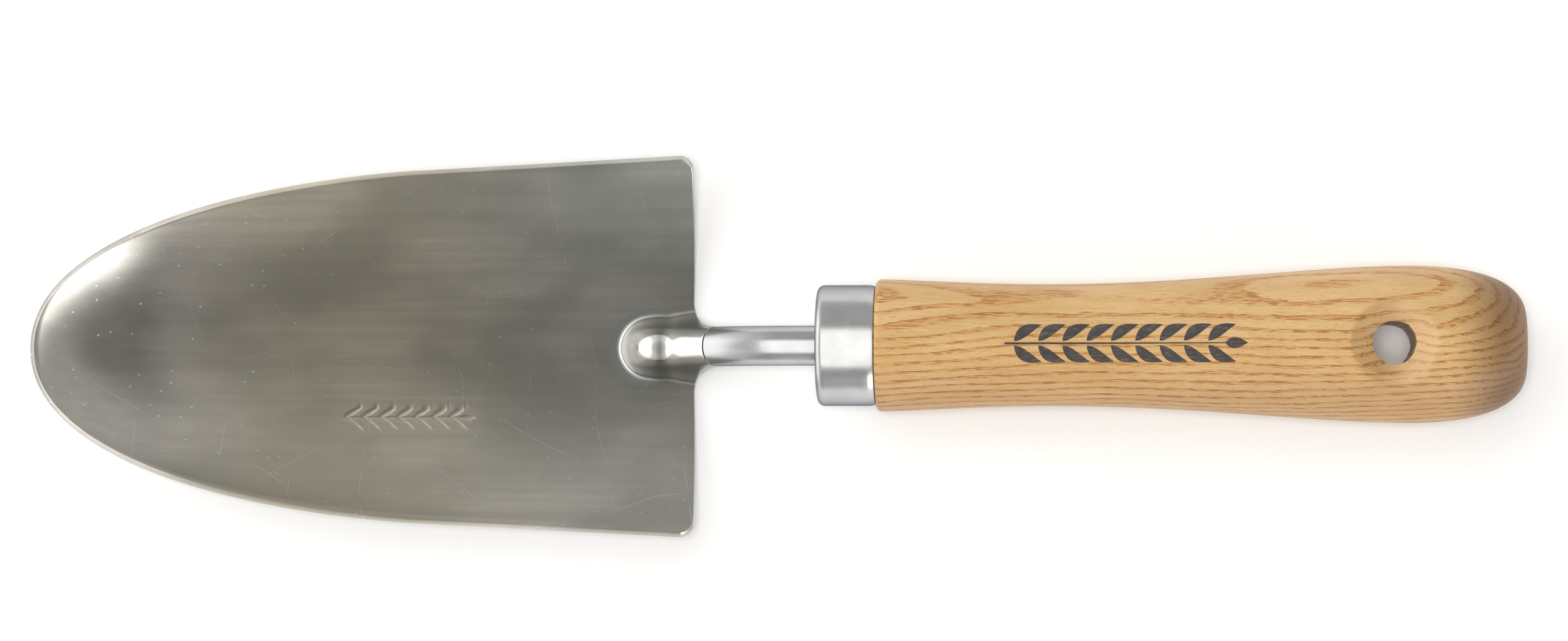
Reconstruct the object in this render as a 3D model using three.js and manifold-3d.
// A hand trowel: a dished stainless blade, a cranked shank welded into the ridge at its back end, a drawn
// ferrule and a turned ash handle with a hanging hole.
// Millimetres. +X runs from the blade's tip to the handle's butt, +Z is up, and the blade's hollow side
// faces up. The trowel lies on its back at z = 0, on the blade's belly and on the swell of the handle.
import * as THREE from "three";
import { mergeVertices } from "three/addons/utils/BufferGeometryUtils.js";
import Module from "manifold-3d";

const wasm = await Module();
wasm.setup();

// ---- Driving dimensions ----
const TIP_X = -158.2;
const BUTT_X = 158.2;
const GAP = 0.3;

// blade: plan outline
const REAR_X = -15.7; // rear corners of the scoop
const TAPER_LENGTH = 83.1; // from the tip to where the sides run straight
const TAPER_HALF_WIDTH = 37.27;
const TAPER_SLOPE = 0.0519;
const TIP_PULL = 32.2; // roundness of the tip
const TAPER_PULL = 4.86;
const CORNER_RADIUS = 2.6;
// blade: dished form
const SHEET = 1.5;
const TIP_RISE = 11; // the trough's upward curve at the tip
const TIP_RISE_LENGTH = 33;
const TIP_DISH_RADIUS = 20;
const REAR_DISH_GROWTH = 45;
const DISH_GROWTH_LENGTH = 60;
const BELLY_FLAT = 0.07; // how much the belly is flattened, so that the blade lies steady on a bench
const TRIM = 1.5; // how far the pressed blank reaches past the outline at the sides
const BLANK_TIP_TRIM = 4; // and round the tip
const BLANK_OVERHANG = 1; // and at its ends
const BLANK_TIP_POWER = 2.4; // roundness of the blank's tip
const BLANK_COLUMNS = 33;
const BLANK_MIDDLE_SHARE = 0.6; // under 1 puts more of the columns over the ridge

// shank
const ROD_RADIUS = 4.2;
const CRANK_SLOPE = THREE.MathUtils.degToRad(36.2);
const CRANK_FRONT_X = -12;
const CRANK_REAR_X = 2.3;
const SHOULDER_X = -10.95; // where the full rod steps down to the spigot
const SPIGOT_RADIUS = 2.4;
const SPIGOT_END_X = -28.5;
const TANG_END_X = 84;
const TANG_POINT_LENGTH = 9;
const TANG_POINT_RADIUS = 1.6;

// socket ridge and neck, pressed over the spigot
const RIDGE_NOSE_X = -33;
const RIDGE_SIDE_ANGLE = THREE.MathUtils.degToRad(68);
const NOSE_BLEND = 4;
const REAR_BLEND = 5;
const NOSE_CENTRE_X = -27.3; // the ridge ends in a quarter of a ball in front of this
const NOSE_WIDENING = 1.12; // the ridge's width at the nose, over the rod's
const NOSE_SLOPE = 0.75;
const BULGE_X = -27; // the ridge's top swells over the spigot's end
const BULGE_HEIGHT = 2.6;
const BULGE_LENGTH = 6.5;
const DENT_X = -21.8; // a shallow dent behind the bulge
const DENT_DEPTH = 0.8;
const DENT_LENGTH = 2;
const NECK_FILLET = 5.2;
const NECK_END_X = -11.4; // the two ears at the rod's sides
const NECK_CROWN_X = -13.6; // the neck's end on top of the rod

// welds under the ridge
const WELD_RADIUS = 1;
const WELD_FRONT_X = -21;
const WELD_REAR_X = -16.6;
const WELD_OFFSET_Y = 2.8;
const WELD_DROP = 3.3; // below the spigot's axis

// ferrule
const FERRULE_FRONT_X = 10.9;
const FERRULE_LENGTH = 12.3;
const FERRULE_RADIUS = 12.7;
const FERRULE_WALL = 0.8;
const FERRULE_SHOULDER = 1.5;
const FERRULE_LIP = 0.5;

// handle
const SWELL_RADIUS = 16.4;
const SWELL_X = 134;
const WAIST_RADIUS = 12.75;
const WAIST_X = 60;
const FRONT_RADIUS = 13.87;
const FRONT_CORNER = 1.3;
const BUTT_FLAT_RADIUS = 5.5;
const TENON_RADIUS = 11.6;
const BORE_RADIUS = 4.95;
const BORE_END_X = 86;
const HOLE_X = 130.5;
const HOLE_RADIUS = 4.5;
const COUNTERSINK_RADIUS = 9.8; // on the handle's top line
const COUNTERSINK_SLOPE = Math.tan(THREE.MathUtils.degToRad(30));

// resin sleeve
const SLEEVE_INNER_RADIUS = 4.32;
const SLEEVE_OUTER_RADIUS = 4.85;
const SLEEVE_END_X = 72;

const AXIS_Z = SWELL_RADIUS; // the handle's axis is level and the swell touches the bench
const FERRULE_REAR_X = FERRULE_FRONT_X + FERRULE_LENGTH;
const HANDLE_FRONT_X = FERRULE_REAR_X + GAP;

// ---- Materials ----
const satinSteel = new THREE.MeshStandardMaterial({ color: 0x8f8c84, roughness: 0.38, metalness: 1 });
const polishedSteel = new THREE.MeshStandardMaterial({ color: 0xbdbdbb, roughness: 0.2, metalness: 1 });
const weldSteel = new THREE.MeshStandardMaterial({ color: 0x6f6a64, roughness: 0.5, metalness: 1 });
const ashWood = new THREE.MeshStandardMaterial({ color: 0xd9b78b, roughness: 0.5, metalness: 0 });
const resin = new THREE.MeshStandardMaterial({ color: 0xc9b27a, roughness: 0.4, metalness: 0 });

// ---- Solids ----
// A closed three.js geometry as a manifold-3d solid.
function solidOf(geometry) {
  const bare = geometry.clone();
  bare.deleteAttribute("normal");
  bare.deleteAttribute("uv");
  const merged = mergeVertices(bare, 1e-4);
  const mesh = new wasm.Mesh({
    numProp: 3,
    vertProperties: merged.attributes.position.array,
    triVerts: new Uint32Array(merged.index.array),
  });
  return new wasm.Manifold(mesh);
}

function geometryOf(solid) {
  const mesh = solid.getMesh();
  const geometry = new THREE.BufferGeometry();
  geometry.setAttribute("position", new THREE.BufferAttribute(mesh.vertProperties, 3));
  geometry.setIndex(new THREE.BufferAttribute(mesh.triVerts, 1));
  geometry.computeVertexNormals();
  return geometry;
}

// Moves every vertex of a geometry to place(x, y, z).
function reshaped(geometry, place) {
  const position = geometry.attributes.position;
  for (let i = 0; i < position.count; i++) {
    const point = place(position.getX(i), position.getY(i), position.getZ(i));
    position.setXYZ(i, point.x, point.y, point.z);
  }
  return geometry;
}

// Revolves a profile of (x, radius) points about the handle's axis, from the low-x end to the high-x end.
function turned(profile, segments) {
  const lathe = new THREE.LatheGeometry(
    profile.map(([x, radius]) => new THREE.Vector2(radius, x)),
    segments,
  );
  return lathe.rotateX(Math.PI / 2).rotateY(Math.PI / 2).rotateX(Math.PI).translate(0, 0, AXIS_Z);
}

// ---- The rod's centre line ----
const crankRadius = (CRANK_REAR_X - CRANK_FRONT_X) / Math.sin(CRANK_SLOPE);
const crankFrontZ = AXIS_Z - crankRadius * (1 - Math.cos(CRANK_SLOPE));

function rodHeight(x) {
  if (x >= CRANK_REAR_X) return AXIS_Z;
  if (x >= CRANK_FRONT_X) return AXIS_Z - crankRadius + Math.sqrt(crankRadius ** 2 - (CRANK_REAR_X - x) ** 2);
  return crankFrontZ - Math.tan(CRANK_SLOPE) * (CRANK_FRONT_X - x);
}

function rodSlope(x) {
  if (x >= CRANK_REAR_X) return 0;
  if (x >= CRANK_FRONT_X) return Math.asin((CRANK_REAR_X - x) / crankRadius);
  return CRANK_SLOPE;
}

// ---- The blade's form ----
function bladeOutline() {
  const rearHalfWidth = TAPER_HALF_WIDTH + TAPER_SLOPE * (REAR_X - TIP_X - TAPER_LENGTH);
  const taperX = TIP_X + TAPER_LENGTH;
  const earY = ROD_RADIUS + 0.05;
  const shape = new THREE.Shape();
  shape.moveTo(TIP_X, 0);
  shape.bezierCurveTo(
    TIP_X,
    -TIP_PULL,
    taperX - TAPER_PULL,
    -TAPER_HALF_WIDTH + TAPER_SLOPE * TAPER_PULL,
    taperX,
    -TAPER_HALF_WIDTH,
  );
  shape.lineTo(REAR_X - CORNER_RADIUS, -rearHalfWidth + TAPER_SLOPE * CORNER_RADIUS);
  shape.quadraticCurveTo(REAR_X, -rearHalfWidth, REAR_X, -rearHalfWidth + CORNER_RADIUS);
  shape.lineTo(NECK_END_X - NECK_FILLET, -earY - NECK_FILLET);
  shape.absarc(NECK_END_X, -earY - NECK_FILLET, NECK_FILLET, Math.PI, Math.PI / 2, true);
  shape.absellipse(NECK_END_X, 0, NECK_END_X - NECK_CROWN_X, earY, -Math.PI / 2, Math.PI / 2, true);
  shape.absarc(NECK_END_X, earY + NECK_FILLET, NECK_FILLET, -Math.PI / 2, -Math.PI, true);
  shape.lineTo(REAR_X, rearHalfWidth - CORNER_RADIUS);
  shape.quadraticCurveTo(
    REAR_X,
    rearHalfWidth,
    REAR_X - CORNER_RADIUS,
    rearHalfWidth - TAPER_SLOPE * CORNER_RADIUS,
  );
  shape.lineTo(taperX, TAPER_HALF_WIDTH);
  shape.bezierCurveTo(
    taperX - TAPER_PULL,
    TAPER_HALF_WIDTH - TAPER_SLOPE * TAPER_PULL,
    TIP_X,
    TIP_PULL,
    TIP_X,
    0,
  );
  return shape;
}

function smoothMax(a, b, blend) {
  const overlap = Math.max(blend - Math.abs(a - b), 0) / blend;
  return Math.max(a, b) + (overlap * overlap * blend) / 4;
}

// The dish without the ridge: a trough that curves up at the tip, with an arc across it that gets tighter
// towards the tip and is flat along its middle.
function dishHeight(x, y) {
  const fromTip = Math.max(x - TIP_X, 0);
  const trough = SHEET + TIP_RISE * Math.max(1 - (x - TIP_X) / TIP_RISE_LENGTH, 0) ** 3;
  const across = TIP_DISH_RADIUS + REAR_DISH_GROWTH * (1 - Math.exp(-fromTip / DISH_GROWTH_LENGTH));
  return trough + Math.max(across - Math.sqrt(across ** 2 - y ** 2) - BELLY_FLAT, 0);
}

// The ridge's top line: the rod's own top, with a bulge over the spigot's end and a dent behind it.
function ridgeTop(x) {
  const bulge = BULGE_HEIGHT * Math.exp(-(((x - BULGE_X) / BULGE_LENGTH) ** 2));
  const dent = DENT_DEPTH * Math.exp(-(((x - DENT_X) / DENT_LENGTH) ** 2));
  return rodHeight(x) + ROD_RADIUS / Math.cos(rodSlope(x)) + bulge - dent;
}

// The outside of the ridge: round on top like the rod, running out into straight flanks and a round nose.
function ridgeHeight(x, y) {
  const front = Math.max(NOSE_CENTRE_X - x, 0);
  const along = THREE.MathUtils.clamp((x - NOSE_CENTRE_X) / (REAR_X - NOSE_CENTRE_X), 0, 1);
  const out = Math.hypot(front, y) / THREE.MathUtils.lerp(NOSE_WIDENING, 1, along);
  const flankStart = ROD_RADIUS * Math.sin(RIDGE_SIDE_ANGLE);
  const round = ROD_RADIUS - Math.sqrt(ROD_RADIUS ** 2 - Math.min(out, flankStart) ** 2);
  const flank = Math.max(out - flankStart, 0) * Math.tan(RIDGE_SIDE_ANGLE);
  return ridgeTop(x + front) - NOSE_SLOPE * front - (round + flank) / Math.cos(rodSlope(x));
}

function bladeHeight(x, y) {
  const along = THREE.MathUtils.clamp((x - RIDGE_NOSE_X) / (REAR_X - RIDGE_NOSE_X), 0, 1);
  const blend = THREE.MathUtils.lerp(NOSE_BLEND, REAR_BLEND, along);
  return smoothMax(dishHeight(x, y), ridgeHeight(x, y), blend);
}

function bladeNormal(x, y) {
  const step = 0.01;
  const slopeX = (bladeHeight(x + step, y) - bladeHeight(x - step, y)) / (2 * step);
  const slopeY = (bladeHeight(x, y + step) - bladeHeight(x, y - step)) / (2 * step);
  return new THREE.Vector3(-slopeX, -slopeY, 1).normalize();
}

// Stations along the blank: close together at the tip and over the ridge.
function blankStations() {
  const front = TIP_X - BLANK_OVERHANG;
  const tipEnd = TIP_X + TIP_RISE_LENGTH;
  const ridgeStart = RIDGE_NOSE_X - 3;
  const zones = [
    [front, tipEnd, 11],
    [tipEnd, ridgeStart, 8],
    [ridgeStart, NECK_END_X + BLANK_OVERHANG, 22],
  ];
  const stations = [front];
  for (const [from, to, count] of zones) {
    for (let i = 1; i <= count; i++) stations.push(THREE.MathUtils.lerp(from, to, i / count));
  }
  return stations;
}

function blankHalfWidth(x) {
  const fromTip = THREE.MathUtils.clamp(x - TIP_X, 0, REAR_X - TIP_X);
  if (fromTip > TAPER_LENGTH) return TAPER_HALF_WIDTH + TAPER_SLOPE * (fromTip - TAPER_LENGTH) + TRIM;
  const round = Math.sqrt(1 - (1 - fromTip / TAPER_LENGTH) ** BLANK_TIP_POWER);
  return Math.min(TAPER_HALF_WIDTH * round + BLANK_TIP_TRIM, TAPER_HALF_WIDTH + TRIM);
}

function makeBlade() {
  const stations = blankStations();
  const along = stations.length - 1;
  const spread = 4 * (2 - BLANK_MIDDLE_SHARE);
  const blank = reshaped(new THREE.BoxGeometry(1, 1, 1, along, BLANK_COLUMNS, 1), (u, v, w) => {
    const x = stations[Math.round((u + 0.5) * along)];
    const y = blankHalfWidth(x) * (BLANK_MIDDLE_SHARE * v + spread * v ** 3);
    const point = new THREE.Vector3(x, y, bladeHeight(x, y));
    return w > 0 ? point : point.addScaledVector(bladeNormal(x, y), -SHEET);
  });
  const cut = { depth: 3 * SWELL_RADIUS, bevelEnabled: false, curveSegments: 18 };
  const trim = new THREE.ExtrudeGeometry(bladeOutline(), cut).translate(0, 0, -SWELL_RADIUS);
  return geometryOf(solidOf(blank).intersect(solidOf(trim)));
}

// ---- The shank ----
// Rings along the rod as [x, radius]: the tang's point, the full rod, the shoulder and the spigot.
function shankRings() {
  const rings = [
    [TANG_END_X, TANG_POINT_RADIUS],
    [TANG_END_X - TANG_POINT_LENGTH, ROD_RADIUS],
    [CRANK_REAR_X, ROD_RADIUS],
  ];
  const crankSteps = 8;
  for (let i = 1; i <= crankSteps; i++) {
    rings.push([THREE.MathUtils.lerp(CRANK_REAR_X, SHOULDER_X, i / crankSteps), ROD_RADIUS]);
  }
  rings.push([SHOULDER_X - 0.05, SPIGOT_RADIUS]);
  rings.push([CRANK_FRONT_X, SPIGOT_RADIUS]);
  rings.push([SPIGOT_END_X, SPIGOT_RADIUS]);
  return rings;
}

function makeShank() {
  const rings = shankRings();
  const steps = rings.length - 1;
  const rod = reshaped(new THREE.CylinderGeometry(1, 1, 1, 24, steps), (a, t, b) => {
    const [x, radius] = rings[Math.round((t + 0.5) * steps)];
    const slope = rodSlope(x);
    const height = rodHeight(x);
    return new THREE.Vector3(x - b * radius * Math.sin(slope), a * radius, height + b * radius * Math.cos(slope));
  });
  const ground = new THREE.BoxGeometry(400, 60, 60).translate(0, 0, 30 + GAP);
  return geometryOf(solidOf(rod).intersect(solidOf(ground)));
}

// ---- The welds ----
// One bead beside the spigot; side is 1 or -1.
function makeWeld(side) {
  const from = new THREE.Vector3(WELD_FRONT_X, side * WELD_OFFSET_Y, rodHeight(WELD_FRONT_X) - WELD_DROP);
  const to = new THREE.Vector3(WELD_REAR_X, side * WELD_OFFSET_Y, rodHeight(WELD_REAR_X) - WELD_DROP);
  const bead = new THREE.CapsuleGeometry(WELD_RADIUS, from.distanceTo(to), 4, 12);
  const upright = new THREE.Vector3(0, 1, 0);
  bead.applyQuaternion(new THREE.Quaternion().setFromUnitVectors(upright, to.clone().sub(from).normalize()));
  bead.translate(...from.add(to).multiplyScalar(0.5).toArray());
  return bead;
}

// ---- The ferrule, the handle and the resin ----
function arcProfile(centreX, centreR, radius, fromAngle, toAngle, steps) {
  const points = [];
  for (let i = 0; i <= steps; i++) {
    const angle = THREE.MathUtils.degToRad(THREE.MathUtils.lerp(fromAngle, toAngle, i / steps));
    points.push([centreX + radius * Math.cos(angle), centreR + radius * Math.sin(angle)]);
  }
  return points;
}

function makeFerrule() {
  const holeRadius = ROD_RADIUS + GAP;
  const innerRadius = FERRULE_RADIUS - FERRULE_WALL;
  const profile = [
    [FERRULE_FRONT_X, holeRadius],
    ...arcProfile(
      FERRULE_FRONT_X + FERRULE_SHOULDER,
      FERRULE_RADIUS - FERRULE_SHOULDER,
      FERRULE_SHOULDER,
      180,
      90,
      5,
    ),
    ...arcProfile(FERRULE_REAR_X - FERRULE_LIP, FERRULE_RADIUS - FERRULE_LIP, FERRULE_LIP, 90, 0, 3),
    [FERRULE_REAR_X, innerRadius],
    [FERRULE_FRONT_X + FERRULE_SHOULDER, innerRadius],
    [FERRULE_FRONT_X + FERRULE_WALL, innerRadius - FERRULE_SHOULDER + FERRULE_WALL],
    [FERRULE_FRONT_X + FERRULE_WALL, holeRadius],
    [FERRULE_FRONT_X, holeRadius],
  ];
  return turned(profile, 48);
}

function curveProfile(from, pullFrom, pullTo, to, steps) {
  const curve = new THREE.CubicBezierCurve(
    new THREE.Vector2(...from),
    new THREE.Vector2(...pullFrom),
    new THREE.Vector2(...pullTo),
    new THREE.Vector2(...to),
  );
  return curve.getPoints(steps).map((point) => [point.x, point.y]);
}

function handleProfile() {
  const tenonFrontX = FERRULE_FRONT_X + FERRULE_SHOULDER + GAP;
  const bodyFrontX = HANDLE_FRONT_X + FRONT_CORNER;
  return [
    [BORE_END_X, 0],
    [BORE_END_X, BORE_RADIUS],
    [tenonFrontX, BORE_RADIUS],
    [tenonFrontX, TENON_RADIUS],
    [HANDLE_FRONT_X, TENON_RADIUS],
    ...arcProfile(bodyFrontX, FRONT_RADIUS - FRONT_CORNER, FRONT_CORNER, 180, 90, 4),
    ...curveProfile(
      [bodyFrontX, FRONT_RADIUS],
      [bodyFrontX + 10, FRONT_RADIUS - 0.25],
      [WAIST_X - 14, WAIST_RADIUS],
      [WAIST_X, WAIST_RADIUS],
      4,
    ).slice(1),
    ...curveProfile(
      [WAIST_X, WAIST_RADIUS],
      [WAIST_X + 30, WAIST_RADIUS],
      [SWELL_X - 19, SWELL_RADIUS],
      [SWELL_X, SWELL_RADIUS],
      9,
    ).slice(1),
    ...curveProfile(
      [SWELL_X, SWELL_RADIUS],
      [SWELL_X + 15, SWELL_RADIUS],
      [BUTT_X, BUTT_FLAT_RADIUS + 7.4],
      [BUTT_X, BUTT_FLAT_RADIUS],
      10,
    ).slice(1),
    [BUTT_X, 0],
  ];
}

// The drill and countersink tool for the hanging hole, on the hole's own axis.
function holeCutter() {
  const coneDepth = (COUNTERSINK_RADIUS - HOLE_RADIUS) * COUNTERSINK_SLOPE;
  const coneFoot = SWELL_RADIUS - coneDepth;
  const reach = SWELL_RADIUS + 3;
  const reachRadius = HOLE_RADIUS + (reach - coneFoot) / COUNTERSINK_SLOPE;
  const profile = [
    [0, -reach],
    [reachRadius, -reach],
    [HOLE_RADIUS, -coneFoot],
    [HOLE_RADIUS, coneFoot],
    [reachRadius, reach],
    [0, reach],
  ];
  const cutter = new THREE.LatheGeometry(
    profile.map(([radius, along]) => new THREE.Vector2(radius, along)),
    36,
  );
  return cutter.rotateX(Math.PI / 2).translate(HOLE_X, 0, AXIS_Z);
}

function makeHandle() {
  const blank = turned(handleProfile(), 40);
  return geometryOf(solidOf(blank).subtract(solidOf(holeCutter())));
}

function makeSleeve() {
  const front = FERRULE_REAR_X;
  const profile = [
    [front, SLEEVE_INNER_RADIUS],
    [front, SLEEVE_OUTER_RADIUS],
    [SLEEVE_END_X, SLEEVE_OUTER_RADIUS],
    [SLEEVE_END_X, SLEEVE_INNER_RADIUS],
    [front, SLEEVE_INNER_RADIUS],
  ];
  return turned(profile, 24);
}

// ---- Assembly ----
const trowel = new THREE.Group();

function addPiece(name, geometry, material) {
  const mesh = new THREE.Mesh(geometry, material);
  mesh.name = name;
  trowel.add(mesh);
}

addPiece("blade", makeBlade(), satinSteel);
addPiece("shank", makeShank(), polishedSteel);
addPiece("weld_left", makeWeld(1), weldSteel);
addPiece("weld_right", makeWeld(-1), weldSteel);
addPiece("ferrule", makeFerrule(), polishedSteel);
addPiece("handle", makeHandle(), ashWood);
addPiece("tang_adhesive", makeSleeve(), resin);

export default trowel;
